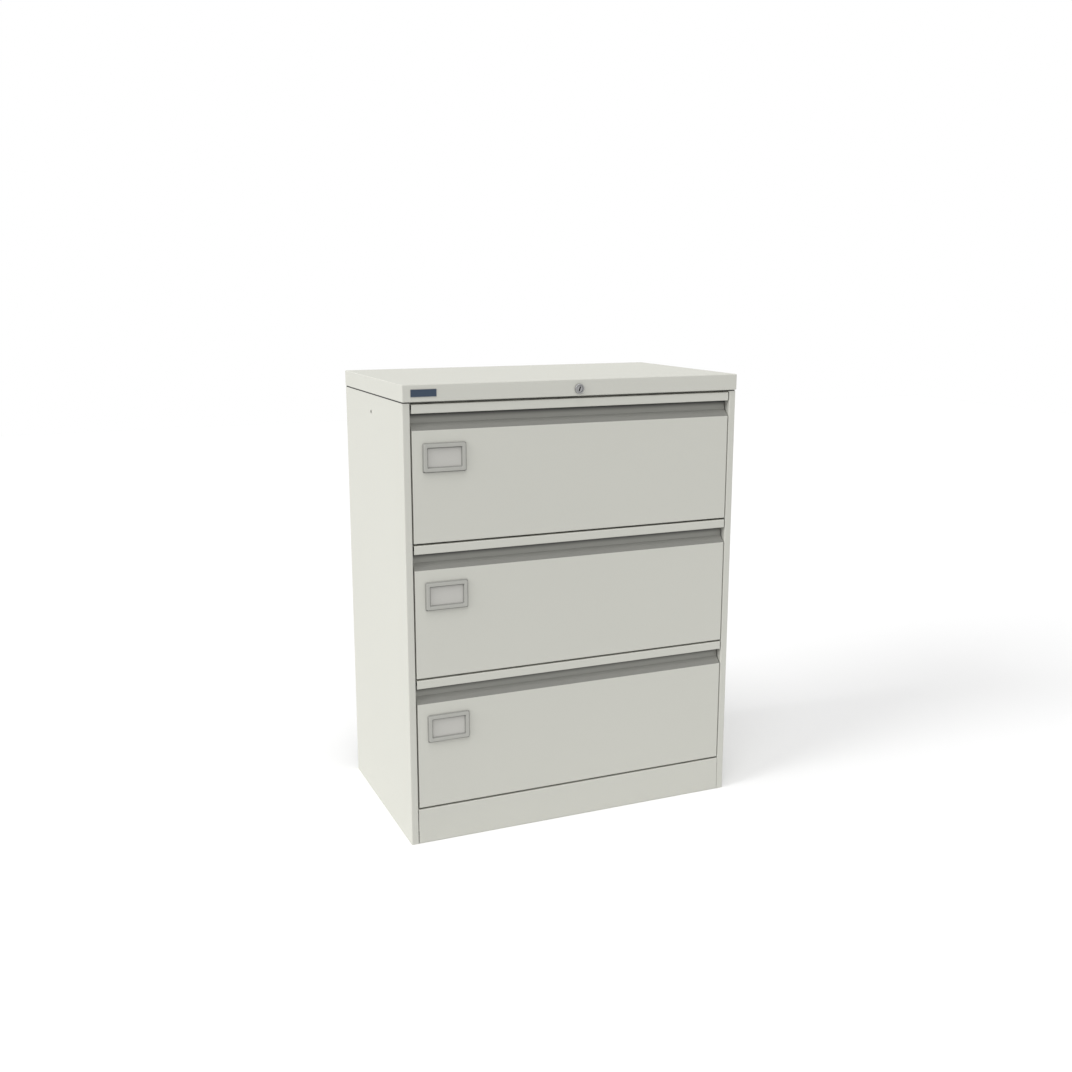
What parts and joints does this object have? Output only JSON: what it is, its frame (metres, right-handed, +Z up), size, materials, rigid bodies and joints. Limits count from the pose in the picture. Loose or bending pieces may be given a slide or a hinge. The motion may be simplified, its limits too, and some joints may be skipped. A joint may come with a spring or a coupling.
{
  "type": "lateral filing cabinet",
  "caption": "Free-standing steel side filer whose drawers run on telescopic slides and open by a full-width recessed grip, with a key lock in the lid that bars every drawer.",
  "frame": {"origin": "on the floor, in the middle of the outer box", "axes": "+X to the right of someone facing the drawers, +Y to the back, +Z up"},
  "size_m": [0.8, 0.474, 1.016],
  "materials": {
    "paint": "satin light grey powder coat with a fine orange-peel texture",
    "zinc": "bright zinc plate",
    "chrome": "satin chrome plate",
    "holder": "moulded grey plastic, fine matt",
    "card": "plain uncoated card",
    "nylon": "natural nylon",
    "foot": "zinc-plated stud with a black moulded pad"
  },
  "bodies": {
    "cabinet": {"lid": "paint", "side_panel_left": "paint", "side_panel_right": "paint", "back_panel": "paint", "plinth": "paint", "base_pan": "paint", "top_front_rail": "paint", "top_rear_rail": "paint", "front_upright_left": "paint", "front_upright_right": "paint", "rear_upright_left": "paint", "rear_upright_right": "paint", "lock_housing": "chrome", "lock_shaft_hanger": "zinc", "lock_bar_guide_upper": "nylon", "lock_bar_guide_lower": "nylon", "bottom_slide_outer_left": "zinc", "bottom_slide_outer_right": "zinc", "middle_slide_outer_left": "zinc", "middle_slide_outer_right": "zinc", "top_slide_outer_left": "zinc", "top_slide_outer_right": "zinc"},
    "bottom_drawer": {"bottom_drawer_front": "paint", "bottom_drawer_liner": "paint", "bottom_drawer_tray": "paint", "bottom_drawer_back": "paint", "bottom_card_holder": "holder", "bottom_card": "card", "bottom_slide_inner_left": "zinc", "bottom_slide_inner_right": "zinc"},
    "bottom_slide_middles": {"bottom_slide_middle_left": "zinc", "bottom_slide_middle_right": "zinc"},
    "middle_drawer": {"middle_drawer_front": "paint", "middle_drawer_liner": "paint", "middle_drawer_tray": "paint", "middle_drawer_back": "paint", "middle_card_holder": "holder", "middle_card": "card", "middle_slide_inner_left": "zinc", "middle_slide_inner_right": "zinc"},
    "middle_slide_middles": {"middle_slide_middle_left": "zinc", "middle_slide_middle_right": "zinc"},
    "top_drawer": {"top_drawer_front": "paint", "top_drawer_liner": "paint", "top_drawer_tray": "paint", "top_drawer_back": "paint", "top_card_holder": "holder", "top_card": "card", "top_slide_inner_left": "zinc", "top_slide_inner_right": "zinc"},
    "top_slide_middles": {"top_slide_middle_left": "zinc", "top_slide_middle_right": "zinc"},
    "lock_plug": {"lock_barrel": "chrome", "lock_shaft": "zinc"},
    "lock_bar": {"lock_bar": "zinc"},
    "foot_front_left": {"foot_front_left": "foot"},
    "foot_front_right": {"foot_front_right": "foot"},
    "foot_rear_left": {"foot_rear_left": "foot"},
    "foot_rear_right": {"foot_rear_right": "foot"}
  },
  "joints": [
    {"name": "bottom_drawer_slide", "type": "slide", "parent": "cabinet", "child": "bottom_drawer", "axis": [0, -1, 0], "range_m": [0, 0.4]},
    {"name": "bottom_middles_slide", "type": "slide", "parent": "cabinet", "child": "bottom_slide_middles", "axis": [0, -1, 0], "range_m": [0, 0.2]},
    {"name": "middle_drawer_slide", "type": "slide", "parent": "cabinet", "child": "middle_drawer", "axis": [0, -1, 0], "range_m": [0, 0.4]},
    {"name": "middle_middles_slide", "type": "slide", "parent": "cabinet", "child": "middle_slide_middles", "axis": [0, -1, 0], "range_m": [0, 0.2]},
    {"name": "top_drawer_slide", "type": "slide", "parent": "cabinet", "child": "top_drawer", "axis": [0, -1, 0], "range_m": [0, 0.4]},
    {"name": "top_middles_slide", "type": "slide", "parent": "cabinet", "child": "top_slide_middles", "axis": [0, -1, 0], "range_m": [0, 0.2]},
    {"name": "lock_turn", "type": "hinge", "parent": "cabinet", "child": "lock_plug", "pos_m": [0, -0.237, 0.9955], "axis": [0, 1, 0], "range_deg": [0, 90]},
    {"name": "lock_bar_lift", "type": "slide", "parent": "cabinet", "child": "lock_bar", "axis": [0, 0, 1], "range_m": [0, 0.012]},
    {"name": "foot_front_left_screw", "type": "slide", "parent": "cabinet", "child": "foot_front_left", "axis": [0, 0, -1], "range_m": [0, 0.015]},
    {"name": "foot_front_right_screw", "type": "slide", "parent": "cabinet", "child": "foot_front_right", "axis": [0, 0, -1], "range_m": [0, 0.015]},
    {"name": "foot_rear_left_screw", "type": "slide", "parent": "cabinet", "child": "foot_rear_left", "axis": [0, 0, -1], "range_m": [0, 0.015]},
    {"name": "foot_rear_right_screw", "type": "slide", "parent": "cabinet", "child": "foot_rear_right", "axis": [0, 0, -1], "range_m": [0, 0.015]}
  ],
  "couplings": [
    {"joint": "bottom_middles_slide", "follows": "bottom_drawer_slide", "ratio": 0.5},
    {"joint": "middle_middles_slide", "follows": "middle_drawer_slide", "ratio": 0.5},
    {"joint": "top_middles_slide", "follows": "top_drawer_slide", "ratio": 0.5},
    {"joint": "lock_turn", "follows": "lock_bar_lift", "rad_per_m": 130.67}
  ]
}
